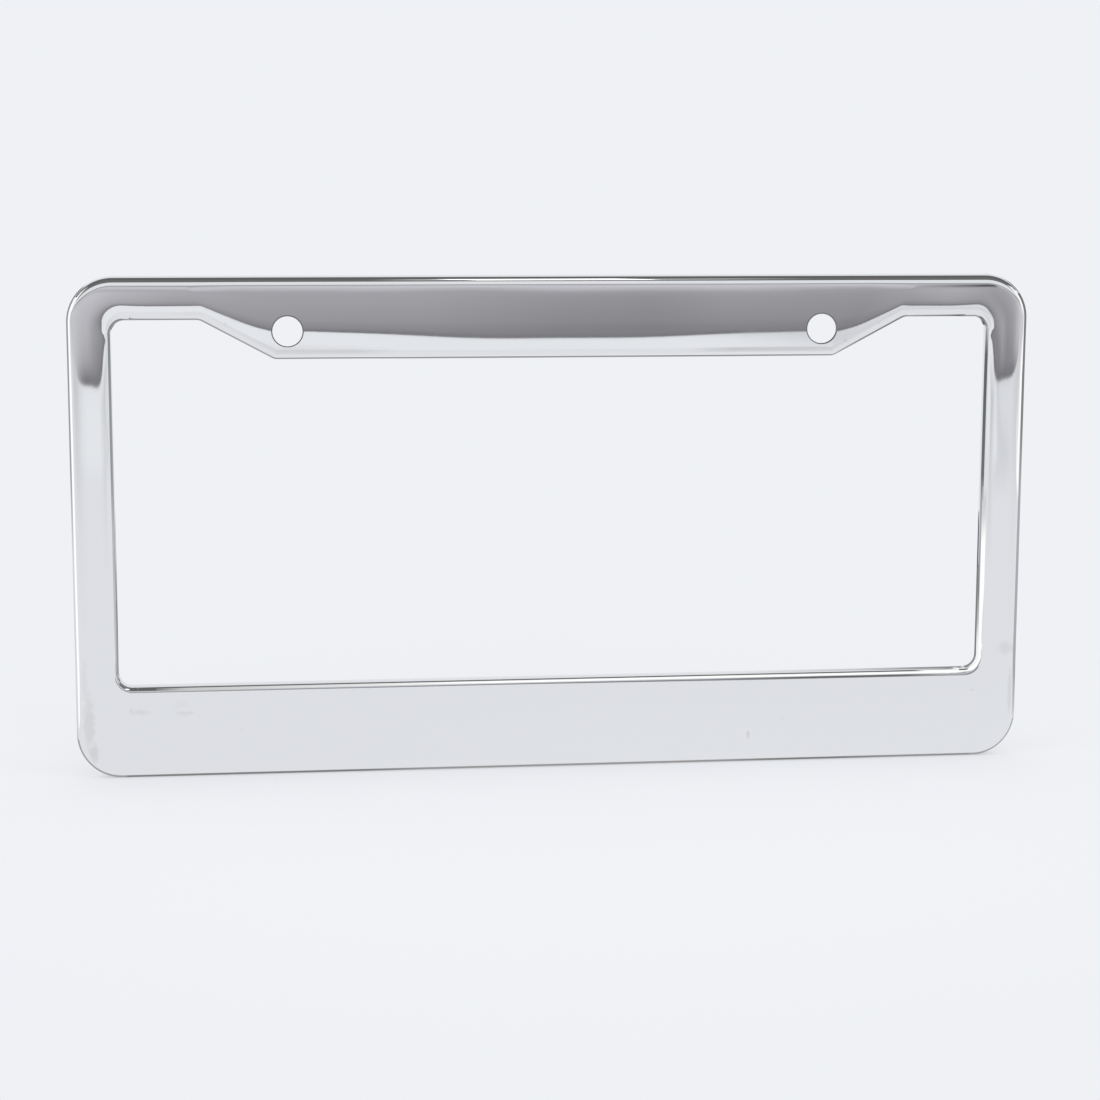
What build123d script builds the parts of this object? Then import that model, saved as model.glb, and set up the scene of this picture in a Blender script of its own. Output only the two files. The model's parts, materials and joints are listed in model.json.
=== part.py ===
from build123d import *
import os
from math import radians, sin

# Number plate frame pressed from one steel sheet, in millimetres.
# X runs across the plate, Z is up and the polished face looks along -Y.
# The origin lies midway between the two screws, on the front of the sheet.

# Outline of the pressing
frame_width = 320.0
frame_height = 166.0
corner_radius = 15.0

# Screw holes, at the spacing of a plate's own upper holes
screw_spacing = 177.8
screw_hole_diameter = 9.8
screw_drop = 18.0  # from the top edge down to the screw line

# Window, by the bars that are left round it
side_bar_width = 14.2
top_bar_height = 14.3  # at the two ends, outside the shoulders
lower_panel_height = 31.0
screw_band_below = 9.2  # from the screw line down to the window
screw_band_beyond = 4.4  # from each screw line out to its shoulder
shoulder_run = 24.2  # sideways run of the slope between band and bar
shoulder_radius = 4.0
window_corner_radius = 4.5

# Section of the pressed sheet, the same round the outline and the window
sheet_thickness = 0.6
edge_roll_width = 1.5  # soft fall of the face towards each bend
edge_roll_angle = 7.0  # how far that fall has turned where the bend begins
bend_radius = 2.0  # on the polished side
outer_rim_depth = 5.5  # from the face to the back edge of the outer rim
window_rim_depth = 4.0  # shorter, so that the plate lies inside the outer rim

# Edges of the outline and the window
half_width = frame_width / 2
top_edge = screw_drop
bottom_edge = top_edge - frame_height
window_half_width = half_width - side_bar_width
window_top = top_edge - top_bar_height
window_bottom = bottom_edge + lower_panel_height
band_edge = -screw_band_below
band_end = screw_spacing / 2 + screw_band_beyond
shoulder_end = band_end + shoulder_run

# How far the roll and the bend reach in from an edge
edge_roll_radius = edge_roll_width / sin(radians(edge_roll_angle))
rim_reach = edge_roll_width + bend_radius * (1 - sin(radians(edge_roll_angle)))


def mirrored_outline(start, right_side, radii):
    """Closed outline that starts in mid-edge and is alike on both sides of X = 0."""
    left_side = [(-x, z) for x, z in reversed(right_side)]
    corner_radii = [0, *radii, *reversed(radii)]
    return Plane.XZ * FilletPolyline(start, *right_side, *left_side, radius=corner_radii, close=True)


def outer_outline():
    right_side = [(half_width, top_edge), (half_width, bottom_edge)]
    return mirrored_outline((0, top_edge), right_side, [corner_radius] * len(right_side))


def window_outline():
    shoulder = [(band_end, band_edge), (shoulder_end, window_top)]
    corners = [(window_half_width, window_top), (window_half_width, window_bottom)]
    radii = [shoulder_radius] * len(shoulder) + [window_corner_radius] * len(corners)
    return mirrored_outline((0, band_edge), shoulder + corners, radii)


def rim_skin(edge, inward, depth, inset):
    """One side of the sheet from the flat face over the roll and the bend to the rim's back edge."""
    face_end = (inset, edge + inward * rim_reach)
    roll = JernArc(face_end, (0, -inward), edge_roll_radius - inset, inward * edge_roll_angle)
    bend = JernArc(roll @ 1, roll % 1, bend_radius - inset, inward * (90 - edge_roll_angle))
    wall = Line(bend @ 1, (depth, (bend @ 1).Y))
    return [roll, bend, wall]


def rim_section(edge, inward, depth):
    """Cross-section of a rim at X = 0, where inward points from its edge into the sheet."""
    polished = rim_skin(edge, inward, depth, 0)
    back = rim_skin(edge, inward, depth, sheet_thickness)
    face_joint = Line(polished[0] @ 0, back[0] @ 0)
    back_edge = Line(polished[-1] @ 1, back[-1] @ 1)
    return Plane.YZ * make_face([*polished, *back, face_joint, back_edge])


def flat_face(outline, window):
    """The level part of the face, between the two rolls."""
    blank = offset(make_face(outline), amount=-rim_reach)
    opening = offset(make_face(window), amount=rim_reach)
    return extrude(blank - opening, amount=sheet_thickness, dir=(0, 1, 0))


def screw_punches():
    places = Plane.XZ * GridLocations(screw_spacing, 0, 2, 1)
    return places * Cylinder(screw_hole_diameter / 2, 2 * outer_rim_depth)


def plate_frame():
    outline = outer_outline()
    window = window_outline()
    outer_rim = sweep(rim_section(top_edge, -1, outer_rim_depth), path=outline)
    window_rim = sweep(rim_section(band_edge, 1, window_rim_depth), path=window)
    pressing = outer_rim + flat_face(outline, window) + window_rim
    return pressing - screw_punches()


os.makedirs("parts", exist_ok=True)
export_step(plate_frame(), "parts/plate_frame.step")
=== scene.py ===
import json
import math

import bpy
from mathutils import Matrix, Vector


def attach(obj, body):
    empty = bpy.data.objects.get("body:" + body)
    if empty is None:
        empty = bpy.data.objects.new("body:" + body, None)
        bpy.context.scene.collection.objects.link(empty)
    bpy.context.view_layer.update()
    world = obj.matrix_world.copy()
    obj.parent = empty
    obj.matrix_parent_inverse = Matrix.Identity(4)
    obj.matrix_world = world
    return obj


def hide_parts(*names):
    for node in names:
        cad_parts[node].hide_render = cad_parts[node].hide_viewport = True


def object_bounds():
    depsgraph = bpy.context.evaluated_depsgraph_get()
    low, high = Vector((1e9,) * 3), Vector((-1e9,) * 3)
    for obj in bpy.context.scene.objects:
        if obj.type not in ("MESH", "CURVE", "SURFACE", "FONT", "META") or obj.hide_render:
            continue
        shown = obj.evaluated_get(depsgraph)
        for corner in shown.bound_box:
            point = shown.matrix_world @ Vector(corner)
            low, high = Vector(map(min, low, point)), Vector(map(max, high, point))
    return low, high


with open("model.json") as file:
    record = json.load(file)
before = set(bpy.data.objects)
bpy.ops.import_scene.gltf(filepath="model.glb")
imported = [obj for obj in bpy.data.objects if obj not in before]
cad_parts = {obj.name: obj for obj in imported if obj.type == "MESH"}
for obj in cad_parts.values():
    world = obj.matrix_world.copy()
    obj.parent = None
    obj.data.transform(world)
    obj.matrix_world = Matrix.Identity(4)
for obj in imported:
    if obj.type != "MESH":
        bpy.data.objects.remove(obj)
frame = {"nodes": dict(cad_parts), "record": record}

# Number plate frame pressed from one mirror-polished steel sheet.
# X runs across the plate, Z is up and the polished face looks along -Y.
cadLow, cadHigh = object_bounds()
mm = 0.001
scene = bpy.context.scene
screws = next(m for m in frame["record"]["mounts"] if m["name"] == "plate_screws")
print("frame loaded:", ", ".join(sorted(frame["nodes"])))


# one node socket, with the arithmetic that adds Math nodes
class Wire:
    def __init__(self, tree, socket=None):
        self.tree = tree
        self.socket = socket

    # any node: its settings first, then what its sockets take
    def node(self, kind, inputs=(), output=0, stops=(), **settings):
        made = self.tree.nodes.new(kind)
        for name, value in settings.items():
            setattr(made, name, value)
        ramp = made.color_ramp.elements if stops else ()
        for i, (position, shade) in enumerate(stops):
            stop = ramp[i] if i < len(ramp) else ramp.new(position)
            stop.position = position
            stop.color = (shade, shade, shade, 1)
        for name, value in dict(inputs).items():
            if isinstance(value, Wire):
                self.tree.links.new(value.socket, made.inputs[name])
            else:
                made.inputs[name].default_value = value
        return Wire(self.tree, made.outputs[output]) if len(made.outputs) else made

    def maths(self, operation, *values):
        return self.node("ShaderNodeMath", dict(enumerate(values)), operation=operation)

    def __add__(self, other):
        return self.maths("ADD", self, other)

    def __radd__(self, other):
        return self.maths("ADD", other, self)

    def __sub__(self, other):
        return self.maths("SUBTRACT", self, other)

    def __rsub__(self, other):
        return self.maths("SUBTRACT", other, self)

    def __mul__(self, other):
        return self.maths("MULTIPLY", self, other)

    def __rmul__(self, other):
        return self.maths("MULTIPLY", other, self)

    def __truediv__(self, other):
        return self.maths("DIVIDE", self, other)

    # 0 below low, 1 above high, smooth between
    def step(self, low, high):
        inputs = {"Value": self, "From Min": low, "From Max": high}
        return self.node("ShaderNodeMapRange", inputs, interpolation_type="SMOOTHSTEP")

    def noise(self, where, scale, detail):
        return self.node("ShaderNodeTexNoise", {"Vector": where, "Scale": scale, "Detail": detail})

    def mixColour(self, factor, first, second):
        return self.node("ShaderNodeMix", {0: factor, 6: first, 7: second}, output=2, data_type="RGBA")


def newMaterial(name):
    material = bpy.data.materials.new(name)
    material.use_nodes = True
    material.node_tree.nodes.clear()
    wire = Wire(material.node_tree)
    return material, wire


def coordinates(wire, scale=(1, 1, 1)):
    place = wire.node("ShaderNodeTexCoord", output=3)
    return wire.node("ShaderNodeMapping", {"Vector": place, "Scale": scale})


# one coordinate of a place on the object, in metres
def placeOn(wire, axis):
    place = wire.node("ShaderNodeTexCoord", output=3)
    return wire.node("ShaderNodeSeparateXYZ", {0: place}, output=axis)


def finishMaterial(wire, shader):
    wire.node("ShaderNodeOutputMaterial", {"Surface": shader})


# mirror-polished face and rims
polish = dict(
    colour=(0.833, 0.835, 0.841),
    roughness=0.028,
    haze=0.02,  # added roughness where the polish is dull
    hazeScale=22.0,
    hazeEdge=(0.52, 0.8),  # noise at which the dullness begins and is full
)

# smears and scuffs on it: middle and half size across and up in mm, and how strong
smudges = dict(
    colour=(0.56, 0.53, 0.51),
    roughness=0.22,
    ragged=1.3,  # how far their outlines stray
    raggedScale=420.0,
    edge=(0.35, 1.1),  # share of the half size at which they begin to fade and end
    marks=(
        (-157.0, -115.0, 1.1, 9.0, 0.14),
        (-155.8, -128.5, 2.2, 11.0, 0.3),
        (-154.4, -139.0, 1.9, 4.2, 0.36),
        (-138.8, -125.7, 3.8, 1.1, 0.23),
        (-142.0, -125.0, 0.8, 1.3, 0.23),
        (-124.6, -126.3, 3.8, 1.0, 0.2),
        (-125.8, -123.2, 2.8, 1.6, 0.08),
        (-105.8, -131.9, 1.1, 0.9, 0.08),
        (65.8, -138.2, 0.9, 1.6, 0.36),
        (77.6, -133.0, 1.0, 0.9, 0.08),
        (144.2, -124.6, 1.3, 0.5, 0.25),
        (155.6, -110.2, 3.8, 2.8, 0.24),
        (157.6, -125.0, 1.0, 9.0, 0.3),
        (-109.0, 2.6, 0.6, 0.5, 0.3),
        (97.0, -4.0, 0.7, 0.6, 0.3),
        (108.5, 1.8, 0.5, 0.6, 0.35),
    ),
)


def smudged(wire, where):
    x, z = placeOn(wire, 0) / mm, placeOn(wire, 2) / mm
    ragged = smudges["ragged"] * (wire.noise(where, smudges["raggedScale"], 4.0) - 0.5)
    total = None
    for acrossAt, upAt, halfAcross, halfUp, strength in smudges["marks"]:
        across, up = (x - acrossAt) / halfAcross, (z - upAt) / halfUp
        away = wire.maths("SQRT", across * across + up * up) + ragged
        mark = strength * (1.0 - away.step(*smudges["edge"]))
        total = mark if total is None else wire.maths("MAXIMUM", total, mark)
    return total


def polishedSteel():
    material, wire = newMaterial("polished_steel")
    where = coordinates(wire)
    haze = wire.noise(where, polish["hazeScale"], 3.0).step(*polish["hazeEdge"])
    smudge = smudged(wire, where)
    roughness = polish["roughness"] + polish["haze"] * haze + smudges["roughness"] * smudge
    shader = wire.node("ShaderNodeBsdfPrincipled", {
        "Base Color": wire.mixColour(smudge, (*polish["colour"], 1), (*smudges["colour"], 1)),
        "Metallic": 1.0,
        "Roughness": roughness,
    })
    finishMaterial(wire, shader)
    return material


# rolled mill finish on the back of the sheet
mill = dict(
    colour=(0.58, 0.585, 0.595),
    roughness=0.36,
    grain=0.12,  # change of roughness along the rolling lines
    grainScale=900.0,
    grainStretch=(0.06, 1, 1),
    cloud=0.16,  # and from place to place
    cloudScale=30.0,
)


def millSteel():
    material, wire = newMaterial("mill_steel")
    grain = wire.noise(coordinates(wire, mill["grainStretch"]), mill["grainScale"], 3.0) - 0.5
    cloud = wire.noise(coordinates(wire), mill["cloudScale"], 3.0) - 0.5
    shader = wire.node("ShaderNodeBsdfPrincipled", {
        "Base Color": (*mill["colour"], 1),
        "Metallic": 1.0,
        "Roughness": mill["roughness"] + mill["grain"] * grain + mill["cloud"] * cloud,
    })
    finishMaterial(wire, shader)
    return material


# sheared edges of the sheet and walls of the punched holes
shear = dict(
    # partly painted shade: the cut steel's own darker tone, made darker still as if the cut walls lay in
    # shadow
    colour=(0.25, 0.25, 0.255),
    roughness=0.42,
    streak=0.2,  # change of roughness along the tool's streaks
    streakScale=1500.0,
    streakStretch=(1, 0.08, 1),
)


def cutSteel():
    material, wire = newMaterial("cut_steel")
    streaks = wire.noise(coordinates(wire, shear["streakStretch"]), shear["streakScale"], 2.0) - 0.5
    shader = wire.node("ShaderNodeBsdfPrincipled", {
        "Base Color": (*shear["colour"], 1),
        "Metallic": 1.0,
        "Roughness": shear["roughness"] + shear["streak"] * streaks,
    })
    finishMaterial(wire, shader)
    return material


# the pressing, in millimetres
sheet = dict(
    cornerRadius=15.0,
    sideBar=14.2,
    topBar=14.3,  # at the two ends, outside the shoulders
    lowerPanel=31.0,
    bandBelow=9.2,  # from the screw line down to the window
    bandBeyond=4.4,  # from a screw out to its shoulder
    shoulderRun=24.2,
    shoulderRadius=4.0,
    windowCorner=4.5,
    thickness=0.6,
    bendRadius=2.0,
    windowRim=4.0,  # depth of the rim round the window
    rollWidth=1.5,  # soft start of each bend
    rollTurn=5.2,  # degrees that it turns
    crown=0.0607,  # rise of the face over a flat of crownFlat
    crownFlat=7.8,
    crownGrowth=0.765,  # wider bars rise more, by this power
    crownUpper=1.15,  # share of it above the middle of the band
    crownMid=0.79,  # share of it below, half-way between the screws
    crownScrew=1.49,  # and at the two screws
    screwRun=18.0,  # length over which that eases out along the shoulders
    crownCorner=1.3,  # and at the upper corners
    cornerRun=18.0,  # length over which that comes in
    cornerOuter=0.75,  # share of it on the outer side of those corners
    cornerFade=34.0,  # length over which all this fades down the side bars
    crownLean=0.0013,  # share lost per mm towards the right
    sideCrown=0.17,  # further rise of the side bars, away from their corners
    sideTurn=5.0,  # degrees that their roll turns further
    sideRun=36.0,  # length over which they gain both
    lowerTurn=3.0,  # and that the window's lower edge turns further towards the right
    lowerFrom=-20.0,  # where along X that begins
    lowerRun=130.0,
    sideStart=(0.0, 10.0),  # from the top and bottom edges, on their outer side and window side
    waver=0.03,  # share by which the crown wavers along the bars
    waves=((9.5, 13.0, 0.0), (23.0, -17.0, 1.3)),  # mm across and up per radian, and the start
    columns=dict(corner=18, side=64, bottom=100, end=12, fillet=6, slope=12, band=80),
    rows=dict(wall=3, bend=14, roll=6, face=28),
)
halfWidth = cadHigh.x / mm
topEdge = cadHigh.z / mm
bottomEdge = cadLow.z / mm
outerRim = cadHigh.y / mm
halfPitch = screws["dims"]["spacing_x_mm"] / 2


def selectNothing():
    if bpy.context.object and bpy.context.object.mode != "OBJECT":
        bpy.ops.object.mode_set(mode="OBJECT")
    bpy.ops.object.select_all(action="DESELECT")


def applyModifier(piece, kind, **settings):
    bpy.context.view_layer.objects.active = piece
    bpy.ops.object.modifier_add(type=kind)
    modifier = piece.modifiers[-1]
    for name, value in settings.items():
        setattr(modifier, name, value)
    bpy.ops.object.modifier_apply(modifier=modifier.name)


# closes seams, and the slivers that a cut leaves
def weld(piece):
    selectNothing()
    piece.select_set(True)
    bpy.context.view_layer.objects.active = piece
    bpy.ops.object.mode_set(mode="EDIT")
    bpy.ops.mesh.select_all(action="SELECT")
    bpy.ops.mesh.remove_doubles(threshold=1e-6)
    bpy.ops.mesh.dissolve_degenerate(threshold=1e-6)
    bpy.ops.object.mode_set(mode="OBJECT")


# points along an edge, each with the direction out of the sheet there
def straight(start, end, out, count):
    start, end, out = Vector(start), Vector(end), Vector(out)
    return [(start.lerp(end, i / count), out) for i in range(count)]


def arc(centre, radius, fromDeg, toDeg, count, hollow):
    points = []
    for i in range(count):
        turn = math.radians(fromDeg + (toDeg - fromDeg) * i / count)
        ray = Vector((math.cos(turn), math.sin(turn)))
        points.append((Vector(centre) + radius * ray, -ray if hollow else ray))
    return points


# upper edge of the window, from the middle of the band out to the right corner
def windowTopRight():
    count = sheet["columns"]
    bandEdge = -sheet["bandBelow"]
    bandEnd = halfPitch + sheet["bandBeyond"]
    shoulderEnd = bandEnd + sheet["shoulderRun"]
    barEdge = topEdge - sheet["topBar"]
    radius = sheet["shoulderRadius"]
    rise = math.atan2(barEdge - bandEdge, sheet["shoulderRun"])
    slopeDeg = math.degrees(rise)
    reach = radius * math.tan(rise / 2)  # from a shoulder's corner to where its arc begins
    along = Vector((math.cos(rise), math.sin(rise)))
    slopeOut = (math.sin(rise), -math.cos(rise))
    lowCorner, highCorner = Vector((bandEnd, bandEdge)), Vector((shoulderEnd, barEdge))
    lowStart = lowCorner - Vector((reach, 0))
    highStop = highCorner + Vector((reach, 0))
    cornerStart = (halfWidth - sheet["sideBar"] - sheet["windowCorner"], barEdge)
    points = straight((0, bandEdge), lowStart, (0, -1), count["band"] // 2)
    points += arc(lowStart + Vector((0, radius)), radius, -90, slopeDeg - 90, count["fillet"], False)
    points += straight(lowCorner + along * reach, highCorner - along * reach, slopeOut, count["slope"])
    points += arc(highStop - Vector((0, radius)), radius, slopeDeg + 90, 90, count["fillet"], True)
    points += straight(highStop, cornerStart, (0, -1), count["end"])
    return points, (Vector(cornerStart), Vector((0, -1)))


# both edges of the sheet as matched columns, clockwise from the top left corner
def matchedEdges():
    count = sheet["columns"]
    radius, hollow = sheet["cornerRadius"], sheet["windowCorner"]
    windowHalf = halfWidth - sheet["sideBar"]
    windowTop = topEdge - sheet["topBar"]
    windowBottom = bottomEdge + sheet["lowerPanel"]
    right, last = windowTopRight()
    left = [(Vector((-p.x, p.y)), Vector((-n.x, n.y))) for p, n in [last] + right[:0:-1]]
    window = left + right
    stretch = (halfWidth - radius) / (windowHalf - hollow)
    outer = [(Vector((p.x * stretch, topEdge)), Vector((0, 1))) for p, n in window]
    x, z = halfWidth - radius, (topEdge - radius, bottomEdge + radius)
    wx, wz = windowHalf - hollow, (windowTop - hollow, windowBottom + hollow)
    outer += arc((x, z[0]), radius, 90, 0, count["corner"], False)
    window += arc((wx, wz[0]), hollow, 90, 0, count["corner"], True)
    outer += straight((halfWidth, z[0]), (halfWidth, z[1]), (1, 0), count["side"])
    window += straight((windowHalf, wz[0]), (windowHalf, wz[1]), (-1, 0), count["side"])
    outer += arc((x, z[1]), radius, 0, -90, count["corner"], False)
    window += arc((wx, wz[1]), hollow, 0, -90, count["corner"], True)
    outer += straight((x, bottomEdge), (-x, bottomEdge), (0, -1), count["bottom"])
    window += straight((wx, windowBottom), (-wx, windowBottom), (0, 1), count["bottom"])
    outer += arc((-x, z[1]), radius, -90, -180, count["corner"], False)
    window += arc((-wx, wz[1]), hollow, -90, -180, count["corner"], True)
    outer += straight((-halfWidth, z[1]), (-halfWidth, z[0]), (-1, 0), count["side"])
    window += straight((-windowHalf, wz[1]), (-windowHalf, wz[0]), (1, 0), count["side"])
    outer += arc((-x, z[0]), radius, 180, 90, count["corner"], False)
    window += arc((-wx, wz[0]), hollow, 180, 90, count["corner"], True)
    return list(zip(outer, window))


def ease(share):
    share = min(max(share, 0.0), 1.0)
    return share * share * (3 - 2 * share)


# how far the face falls from its crest to its two edges, outer and window side
def crownAt(outerPoint, outerOut, flat):
    x, z = outerPoint
    crown = sheet["crown"] * (flat / sheet["crownFlat"]) ** sheet["crownGrowth"]
    waves = (math.sin(x / across + z / up + start) for across, up, start in sheet["waves"])
    crown *= 1 + sheet["waver"] * sum(waves)
    mid, screw, corner = sheet["crownMid"], sheet["crownScrew"], sheet["crownCorner"]
    beyond = ease((abs(x) - halfPitch) / sheet["screwRun"])
    nearCorner = ease((abs(x) + sheet["cornerRadius"] - halfWidth) / sheet["cornerRun"] + 0.5)
    window = mid + (screw - mid) * (x / halfPitch) ** 2
    if abs(x) > halfPitch:
        window = screw + (1 - screw) * beyond
    window *= 1 + (corner - 1) * nearCorner
    window *= 1 - sheet["crownLean"] * x
    outer = 1 + (sheet["crownUpper"] - 1) * (1 - beyond)
    outer += (sheet["cornerOuter"] - 1) * (2 * outerOut.x * outerOut.y) ** 2
    upper = ease(1 + (z - topEdge + sheet["cornerRadius"]) / sheet["cornerFade"])
    return crown * (1 + (outer - 1) * upper), crown * (1 + (window - 1) * upper)


# share of a side bar's fuller section, nothing at its ends
def sideShare(outerPoint, outerOut, start):
    ends = topEdge - start - outerPoint.y, outerPoint.y - bottomEdge - start
    return min(ease(end / sheet["sideRun"]) for end in ends) * outerOut.x ** 2


# roll, bend and wall from the face outwards, as (inset from the edge, depth behind the crown)
def rimProfile(startTilt, startDepth, rimDepth, turn):
    rows, bend = sheet["rows"], sheet["bendRadius"]
    endTilt = startTilt + math.radians(turn)
    roll = sheet["rollWidth"] / (math.sin(endTilt) - math.sin(startTilt))
    bendInset = bend * (1 - math.sin(endTilt))
    profile = []
    for i in range(rows["roll"]):
        tilt = startTilt + (endTilt - startTilt) * i / rows["roll"]
        inset = bendInset + roll * (math.sin(endTilt) - math.sin(tilt))
        profile.append((inset, startDepth + roll * (math.cos(startTilt) - math.cos(tilt))))
    bendDepth = startDepth + roll * (math.cos(startTilt) - math.cos(endTilt))
    for i in range(rows["bend"]):
        tilt = endTilt + (math.pi / 2 - endTilt) * i / rows["bend"]
        inset = bend * (1 - math.sin(tilt))
        profile.append((inset, bendDepth + bend * (math.cos(endTilt) - math.cos(tilt))))
    wallDepth = bendDepth + bend * math.cos(endTilt)
    for i in range(rows["wall"] + 1):
        profile.append((0.0, wallDepth + (rimDepth - wallDepth) * i / rows["wall"]))
    return profile


# one line of points across the sheet, from the back of the outer rim to the back of the window rim
def acrossSheet(outerPoint, outerOut, windowPoint, windowOut):
    rimReach = sheet["rollWidth"] + sheet["bendRadius"]
    span = windowPoint - windowOut * rimReach - outerPoint + outerOut * rimReach
    crowns = crownAt(outerPoint, outerOut, span.length)
    shares = [sideShare(outerPoint, outerOut, start) for start in sheet["sideStart"]]
    edges = (outerPoint, outerOut, outerRim), (windowPoint, windowOut, sheet["windowRim"])
    rims = []
    for crown, share, (point, out, depth) in zip(crowns, shares, edges):
        fuller = share * sheet["sideCrown"]
        # of the face where the rim begins
        slope = (4 * crown + 8 * fuller) / span.length / abs(span.normalized().dot(out))
        turn = sheet["rollTurn"] + share * sheet["sideTurn"]
        if out.y > 0.5 and out is windowOut:
            turn += sheet["lowerTurn"] * ease((point.x - sheet["lowerFrom"]) / sheet["lowerRun"])
        profile = rimProfile(math.atan(slope), crown + fuller, depth, turn)
        rims.append([(*(point - out * inset), y) for inset, y in profile])
    first, last = (Vector(rim[0][:2]) for rim in rims)
    face = []
    for i in range(1, sheet["rows"]["face"]):
        share = i / sheet["rows"]["face"]
        away = 2 * share - 1  # from the middle of the bar
        half = 0 if away < 0 else 1
        fall = crowns[half] * away ** 2 + shares[half] * sheet["sideCrown"] * away ** 4
        face.append((*first.lerp(last, share), fall))
    return rims[0][::-1] + face + rims[1]


def pressedSheet():
    edges = matchedEdges()
    lines = [acrossSheet(*outer, *window) for outer, window in edges]
    columns, rows = len(lines), len(lines[0]) - 1
    selectNothing()
    bpy.ops.mesh.primitive_grid_add(x_subdivisions=columns, y_subdivisions=rows, size=1)
    piece = bpy.context.object
    piece.name = piece.data.name = "pressed_frame"
    for vertex in piece.data.vertices:  # the blank is laid round the window and over the tool
        column = round((vertex.co.x + 0.5) * columns) % columns
        x, z, y = lines[column][round((vertex.co.y + 0.5) * rows)]
        vertex.co = Vector((x, y, z)) * mm
    weld(piece)
    bpy.ops.object.mode_set(mode="EDIT")
    bpy.ops.mesh.select_all(action="SELECT")
    bpy.ops.mesh.flip_normals()  # laid like this, the blank's upper side looks to the back
    bpy.ops.object.mode_set(mode="OBJECT")
    for material in (polishedSteel(), millSteel(), cutSteel()):
        piece.data.materials.append(material)
    applyModifier(piece, "SOLIDIFY", thickness=sheet["thickness"] * mm, offset=-1.0, use_even_offset=True,
                  material_offset=1, material_offset_rim=2)
    print("sheet pressed:", columns, "columns by", rows, "rows")
    return piece


# the two screw holes, each cut by a round punch and eased at the front by a cone
punch = dict(
    easing=0.45,  # mm, width of the eased edge
    reach=6.0,  # length of the punch and the cone
    segments=128,
)


def cutAway(piece, tool):
    tool.data.materials.append(piece.data.materials[2])  # cut steel
    selectNothing()
    piece.select_set(True)
    applyModifier(piece, "BOOLEAN", object=tool, operation="DIFFERENCE", solver="EXACT",
                  material_mode="TRANSFER")
    bpy.data.objects.remove(tool)


def punchHole(piece, x):
    radius, reach, easing = screws["dims"]["hole_r_mm"] * mm, punch["reach"] * mm, punch["easing"] * mm
    facing = (math.pi / 2, 0, 0)  # turns a primitive's axis to the front
    selectNothing()
    bpy.ops.mesh.primitive_cylinder_add(vertices=punch["segments"], radius=radius, depth=reach,
                                        location=(x, 0, 0), rotation=facing)
    cutAway(piece, bpy.context.object)
    selectNothing()
    bpy.ops.mesh.primitive_cone_add(vertices=punch["segments"], radius1=radius - easing,
                                    radius2=radius + reach - easing, depth=reach,
                                    location=(x, 2 * easing - reach / 2, 0), rotation=facing)
    cutAway(piece, bpy.context.object)


plate = pressedSheet()
for side in (-1, 1):
    punchHole(plate, side * halfPitch * mm)
weld(plate)
bpy.ops.object.shade_smooth_by_angle(angle=math.radians(40))
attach(plate, "root")
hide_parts("plate_frame")
print("frame punched:", len(plate.data.polygons), "faces")


# pale table top and the room's plain light
studio = dict(
    background=(0.863, 0.879, 0.913),
    floorColour=(0.875, 0.89, 0.925),
    floorFront=1.5,  # m, from the frame to the table's front edge
    floorBack=0.5,
    floorSide=0.9,
    fill=0.845,  # light from the room on everything that isn't a mirror
    shadowFree=0.45,  # share of the floor by the frame that takes no shadow
    shadowEdge=(0.1, 0.3),  # m from the middle, over which that becomes all of it
)


def paleFloor():
    selectNothing()
    front, back, side = studio["floorFront"], studio["floorBack"], studio["floorSide"]
    bpy.ops.mesh.primitive_plane_add(size=1, location=(0, (back - front) / 2, cadLow.z))
    floor = bpy.context.object
    floor.name = "floor"
    floor.scale = (2 * side, front + back, 1)
    bpy.ops.object.transform_apply(location=True, rotation=True, scale=True)
    material, wire = newMaterial("floor")
    place = wire.node("ShaderNodeTexCoord", output=3)
    spot = wire.node("ShaderNodeVectorMath", {0: place, 1: (1, 1, 0)}, operation="MULTIPLY")
    away = wire.node("ShaderNodeVectorMath", {0: spot}, output=1, operation="LENGTH")
    paper = wire.node("ShaderNodeBsdfDiffuse", {"Color": (*studio["floorColour"], 1)})
    glow = wire.node("ShaderNodeEmission", {"Color": (*studio["background"], 1)})
    plain = studio["shadowFree"] + (1 - studio["shadowFree"]) * away.step(*studio["shadowEdge"])
    shader = wire.node("ShaderNodeMixShader", {0: plain, 1: paper, 2: glow})
    finishMaterial(wire, shader)
    floor.data.materials.append(material)


def plainRoom():
    world = bpy.data.worlds.new("room")
    scene.world = world
    world.use_nodes = True
    world.node_tree.nodes.clear()
    wire = Wire(world.node_tree)
    fill = wire.node("ShaderNodeBackground", {"Color": (1, 1, 1, 1), "Strength": studio["fill"]})
    paper = wire.node("ShaderNodeBackground", {"Color": (*studio["background"], 1)})
    seen = wire.node("ShaderNodeLightPath", output=0)
    mirrored = wire.node("ShaderNodeLightPath", output=3)
    room = wire.node("ShaderNodeMixShader", {0: wire.maths("MAXIMUM", seen, mirrored), 1: fill, 2: paper})
    wire.node("ShaderNodeOutputWorld", {"Surface": room})


# the table in front as the steel mirrors it, without the shadow
table = dict(
    right=(0.7, 0.715, 0.745),  # tone of its far part on the right
    rightX=(0.15, 0.33),  # where that comes in
    rightEndX=(0.36, 0.55),  # and goes again, by rightEnd
    rightEnd=0.7,
    rightY=(-0.95, -0.6),
    front=(0.915, 0.935, 0.965),  # tone of its far part up to there
    frontX=(0.28, 0.45),
    frontY=(-0.95, -0.75),
    near=0.35,  # share of that tone close to the frame
    nearX=(-0.12, 0.02),
    nearY=(-0.2, -0.02),
)


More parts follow.
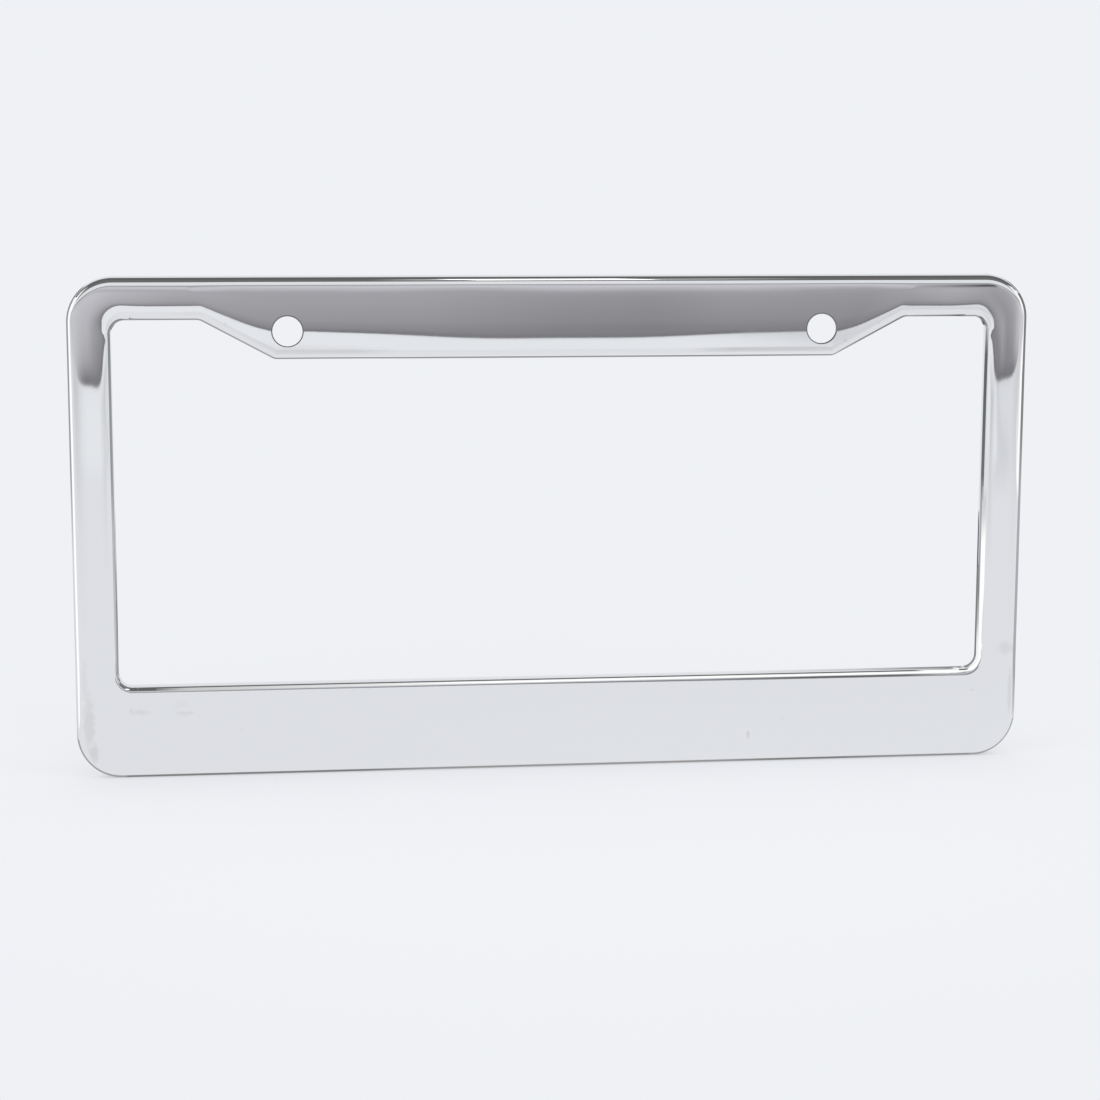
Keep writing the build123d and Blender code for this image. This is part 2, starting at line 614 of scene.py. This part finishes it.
def tableColour(wire):
    x, y = placeOn(wire, 0), placeOn(wire, 1)
    right = x.step(*table["rightX"]) - table["rightEnd"] * x.step(*table["rightEndX"])
    dim = right * (1.0 - y.step(*table["rightY"]))
    near = y.step(*table["nearY"]) * x.step(*table["nearX"]) * table["near"]
    bright = (1.0 - x.step(*table["frontX"])) * (1.0 - y.step(*table["frontY"])) + near
    colour = wire.mixColour(dim, (*studio["background"], 1), (*table["right"], 1))
    return wire.mixColour(bright, colour, (*table["front"], 1))


# the card in front of it, whose shade changes with height and sideways
frontFade = dict(
    tint=(1.0, 0.983, 1.045),
    heights=((0, 0.14), (0.04, 0.25), (0.07, 0.29), (0.2, 0.36), (0.48, 0.41), (0.62, 0.43), (0.68, 0.6),
             (0.71, 0.66), (0.76, 0.64), (0.84, 0.4), (1, 0.4)),
    fromX=-0.8,
    toX=1.0,
    across=((0, 0.85), (0.3, 0.76), (0.35, 0.58), (0.4, 0.51), (0.48, 0.5), (0.55, 0.43), (0.6, 0.41),
            (0.64, 0.455), (0.71, 0.44), (0.76, 0.6), (0.79, 0.475), (1, 0.85)),  # half the factor
    acrossLow=(0.0, 0.12),  # share of the height over which that comes in
    acrossHigh=(0.52, 0.7),  # and goes out
)


def frontColour(wire):
    x, z = placeOn(wire, 0), placeOn(wire, 2)
    low, high = cards["front"]["low"][2], cards["front"]["high"][2]
    fromX, toX = frontFade["fromX"], frontFade["toX"]
    height = (z - low) / (high - low)
    rising = wire.node("ShaderNodeValToRGB", {0: height}, stops=frontFade["heights"])
    across = wire.node("ShaderNodeValToRGB", {0: (x - fromX) / (toX - fromX)}, stops=frontFade["across"])
    part = height.step(*frontFade["acrossLow"]) * (1.0 - height.step(*frontFade["acrossHigh"]))
    shade = rising * (1.0 + (across * 2.0 - 1.0) * part)
    return wire.mixColour(shade, (0, 0, 0, 1), (*frontFade["tint"], 1))


# flat cards that only the polished steel mirrors, in metres, from one corner to the other
floorLevel = cadLow.z
tableLevel = floorLevel + 0.0001
rearLevel = floorLevel + 0.0002
sideTone = (0.655, 0.667, 0.69)
cards = dict(
    table=dict(low=(-0.9, -1.5, tableLevel), high=(0.9, -0.0003, tableLevel), painted=tableColour),
    front=dict(low=(-1.3, -1.5, floorLevel), high=(1.7, -1.5, 0.095), painted=frontColour),
    upper=dict(low=(-2.4, -1.5, 0.3), high=(2.6, -1.5, 1.3), shade=0.17),
    ceiling=dict(low=(-2.4, -1.5, 1.3), high=(2.6, 0.12, 1.3), shade=0.14),
    frontStreak=dict(low=(0.5, -1.49, 0.002), high=(0.64, -1.49, 0.042), tone=(0.1, 0.1, 0.1),
                     veilAcross=((0, 0), (0.4, 0.5), (0.7, 1), (0.9, 1), (1, 0)),
                     veilUp=((0, 0), (0.3, 1), (0.7, 1), (1, 0))),
    aboveLine=dict(low=(0.0, -1.02, 0.56), high=(0.36, -1.02, 0.77), shade=1.1,
                   veilAcross=((0, 0), (0.1, 1), (0.8, 0.9), (1, 0))),
    leftUpper=dict(low=(-0.6, -0.7, 0.05), high=(-0.6, -0.25, 0.6), shade=1.1,
                   veilUp=((0, 1), (0.55, 0.9), (1, 0))),
    left=dict(low=(-0.24, -0.07, floorLevel), high=(-0.24, -0.005, 0.06), shade=1.2),
    right=dict(low=(0.75, -0.84, floorLevel), high=(0.75, -0.31, 0.4), shade=1.2),
    leftRear=dict(low=(-0.2, 0.003, floorLevel), high=(-0.2, 0.15, 0.03), shade=0.25,
                  veilUp=((0, 0.15), (0.37, 0.15), (0.54, 0.75), (1, 0.85))),
    rightRear=dict(low=(0.2, -0.021, floorLevel), high=(0.2, 0.1, 0.03), shade=0.2,
                   veilUp=((0, 0), (0.05, 0.35), (0.12, 0.6), (0.5, 0.6), (0.62, 0.9), (1, 1))),
    rightBehind=dict(low=(0.2, 0.1, floorLevel), high=(0.2, 0.18, 0.03), shade=0.2,
                     veilUp=((0, 0.8), (1, 0.95))),
    leftCorner=dict(low=(-0.2, 0.012, 0.03), high=(-0.2, 0.15, 0.07), shade=0.2,
                    veilUp=((0, 0.85), (0.6, 0.85), (1, 0))),
    rightCorner=dict(low=(0.2, 0.018, 0.03), high=(0.2, 0.1, 0.06), shade=0.2,
                     veilUp=((0, 1), (0.5, 1), (1, 0))),
    # painted contact shadow: dark strips on the floor under the frame's foot and past its lower corners,
    # standing in for the shadow there as the lower bend mirrors it
    underShadow=dict(low=(-0.144, 0.0002, rearLevel), high=(0.144, 0.05, rearLevel), shade=0.36,
               dimAcross=((0, 0.3), (0.27, 0.34), (0.34, 0), (0.7, 0), (0.77, 0.34), (0.84, 0.34),
                          (0.91, 0.05), (1, 0.1))),
    underShadowLeft=dict(low=(-0.2, 0.0002, rearLevel), high=(-0.144, 0.05, rearLevel), shade=0.4),
    underShadowRight=dict(low=(0.144, 0.0002, rearLevel), high=(0.2, 0.05, rearLevel), shade=0.4),
    behind=dict(low=(-0.2, 0.05, rearLevel), high=(0.3, 0.17, rearLevel), shade=0.4),
    behindRight=dict(low=(-0.05, 0.17, rearLevel), high=(0.2, 0.6, rearLevel), shade=0.15,
                     veilAcross=((0, 0), (0.1, 1), (0.65, 1), (1, 0))),
    windowLow=dict(low=(-0.134, -0.02, -0.112), high=(0.1445, -0.002, -0.112), shade=1.2,
                   veilAcross=((0, 0.1), (0.036, 0.5), (0.12, 0.6), (0.3, 0.8), (0.5, 0.92), (0.7, 1))),
    windowLowRear=dict(low=(0.07, 0.02, -0.117), high=(0.146, 0.02, -0.085), shade=0.25,
                       veilAcross=((0, 0), (0.5, 0.3), (0.8, 0.8), (1, 0.95))),
    windowLeft=dict(low=(-0.14, -0.0045, -0.117), high=(-0.14, 0.0012, 0), shade=0.3,
                    veilUp=((0, 0.75), (0.1, 0.5), (0.45, 0.55), (0.6, 0.9), (1, 1))),
    windowRight=dict(low=(0.14, -0.017, -0.1145), high=(0.14, 0.0004, -0.055), shade=1.2,
                     dimUp=((0, 0), (0.67, 0), (0.9, 0.5)), veilUp=((0, 1), (0.77, 1), (1, 0))),
    windowRightRear=dict(low=(0.14, 0.0006, -0.114), high=(0.14, 0.01, -0.06), shade=0.15,
                         veilUp=((0, 0), (0.12, 0.6), (0.85, 0.5), (1, 0.6))),
    windowRightUpper=dict(low=(0.14, -0.0026, -0.06), high=(0.14, 0.01, -0.001), shade=0.15,
                          veilUp=((0, 0.55), (0.15, 0.95), (0.85, 1), (1, 0.4))),
    windowRightLow=dict(low=(0.1405, -0.0012, -0.1145), high=(0.1405, 0.01, -0.09), shade=1.1,
                        veilUp=((0, 1), (0.25, 0.9), (0.5, 0.45), (1, 0))),
    windowFront=dict(low=(-0.02, -0.03, -0.1185), high=(0.141, -0.03, -0.1135), tone=(0.13, 0.13, 0.13),
                     veilAcross=((0, 0), (0.45, 0.12), (0.56, 0.6), (0.72, 1), (0.93, 0.9), (1, 0))),
    leftOuter=dict(low=(-0.37, -0.2, floorLevel), high=(-0.17, -0.2, 0.02), tone=sideTone,
                   veilAcross=((0, 0), (0.4, 1), (0.7, 0.9), (1, 0)),
                   veilUp=((0, 0), (0.3, 0.15), (0.65, 0.9), (0.8, 1), (1, 0))),
    leftInner=dict(low=(-0.138, -0.2, -0.115), high=(-0.04, -0.2, -0.03), tone=sideTone,
                   veilAcross=((0, 0), (0.5, 0.7), (0.8, 0.8), (1, 0)),
                   veilUp=((0, 0), (0.3, 0.3), (0.85, 0.9), (1, 0))),
    rightInner=dict(low=(0.08, -0.2, -0.115), high=(0.18, -0.2, -0.03), tone=sideTone,
                    veilAcross=((0, 0), (0.2, 1), (0.5, 0.9), (1, 0)),
                    veilUp=((0, 0), (0.3, 0.4), (0.85, 1), (1, 0))),
    rightOuter=dict(low=(0.23, -0.2, floorLevel), high=(0.44, -0.2, 0.02), tone=sideTone,
                    veilAcross=((0, 0), (0.31, 0.9), (0.62, 1), (1, 0)),
                    veilUp=((0, 0), (0.3, 0.15), (0.65, 0.9), (0.8, 1), (1, 0))),
)


# product of what a card's ramps give along X and along Z
def cardRamp(wire, low, size, across, up):
    product = None
    for axis, stops in ((0, across), (2, up)):
        if stops:
            share = (placeOn(wire, axis) - low[axis]) / size[axis]
            ramp = wire.node("ShaderNodeValToRGB", {0: share}, stops=stops)
            product = ramp if product is None else product * ramp
    return product


# a card can be dimmed towards black or thinned like a veil
def mirrorCard(name, low, high, shade=1.0, tone=(1, 1, 1), painted=None,
               dimAcross=(), dimUp=(), veilAcross=(), veilUp=()):
    selectNothing()
    low, high = Vector(low), Vector(high)
    size = high - low
    flatAxis = min(range(3), key=lambda axis: abs(size[axis]))
    turn = ((0, math.pi / 2, 0), (math.pi / 2, 0, 0), (0, 0, 0))[flatAxis]
    bpy.ops.mesh.primitive_plane_add(size=1, location=(low + high) / 2, rotation=turn)
    card = bpy.context.object
    card.name = name + "_card"
    bpy.ops.object.transform_apply(location=False, rotation=True, scale=False)
    card.scale = [max(length, 1e-6) for length in size]
    bpy.ops.object.transform_apply(location=True, rotation=True, scale=True)
    material, wire = newMaterial(card.name)
    colour = painted(wire) if painted else (*tone, 1)
    if dimAcross or dimUp:
        colour = wire.mixColour(cardRamp(wire, low, size, dimAcross, dimUp), colour, (0, 0, 0, 1))
    shader = wire.node("ShaderNodeEmission", {"Color": colour, "Strength": shade})
    if veilAcross or veilUp:
        clear = wire.node("ShaderNodeBsdfTransparent")
        veil = cardRamp(wire, low, size, veilAcross, veilUp)
        shader = wire.node("ShaderNodeMixShader", {0: veil, 1: clear, 2: shader})
    finishMaterial(wire, shader)
    card.data.materials.append(material)
    for ray in ("camera", "diffuse", "shadow", "transmission", "volume_scatter"):
        setattr(card, "visible_" + ray, False)


# soft lamps, with the one above also mirrored in the bends
lamps = dict(
    left=dict(place=(-0.9, -0.5, 0.7), size=(0.8, 0.8), power=2.4, mirrored=False),
    right=dict(place=(0.9, -0.5, 0.7), size=(0.8, 0.8), power=2.4, mirrored=False),
    above=dict(place=(0.143, -1.0, 0.66), size=(0.15, 0.5), power=0.48, mirrored=True),
)


def softbox(name, place, size, power, mirrored):
    data = bpy.data.lights.new(name, "AREA")
    data.shape = "RECTANGLE"
    data.size, data.size_y = size
    data.energy = power
    lamp = bpy.data.objects.new(name, data)
    lamp.location = place
    aim = Vector((0, 0, (cadLow.z + cadHigh.z) / 2)) - Vector(place)
    lamp.rotation_euler = aim.to_track_quat("-Z", "Y").to_euler()
    lamp.visible_camera = False
    lamp.visible_glossy = mirrored
    scene.collection.objects.link(lamp)


# the photograph's view: how the lens stands to the middle of the frame
view = dict(
    place=(-0.1041, -0.8201, 0.0542),
    yaw=7.06,  # degrees to the right
    down=8.78,
    roll=0.15,
    focal=2500 / 1100,  # of the picture's width
)


def addCamera():
    data = bpy.data.cameras.new("camera")
    data.sensor_width = 36.0
    data.lens = view["focal"] * data.sensor_width
    camera = bpy.data.objects.new("camera", data)
    turn = Matrix.Rotation(math.radians(-view["yaw"]), 4, "Z")
    turn @= Matrix.Rotation(math.radians(90 - view["down"]), 4, "X")
    turn @= Matrix.Rotation(math.radians(view["roll"]), 4, "Z")
    camera.matrix_world = Matrix.Translation(view["place"]) @ turn
    scene.collection.objects.link(camera)
    scene.camera = camera


paleFloor()
plainRoom()
for name, card in cards.items():
    mirrorCard(name, **card)
for name, lamp in lamps.items():
    softbox(name, **lamp)
addCamera()
scene.view_settings.view_transform = "Standard"
print("stage set")
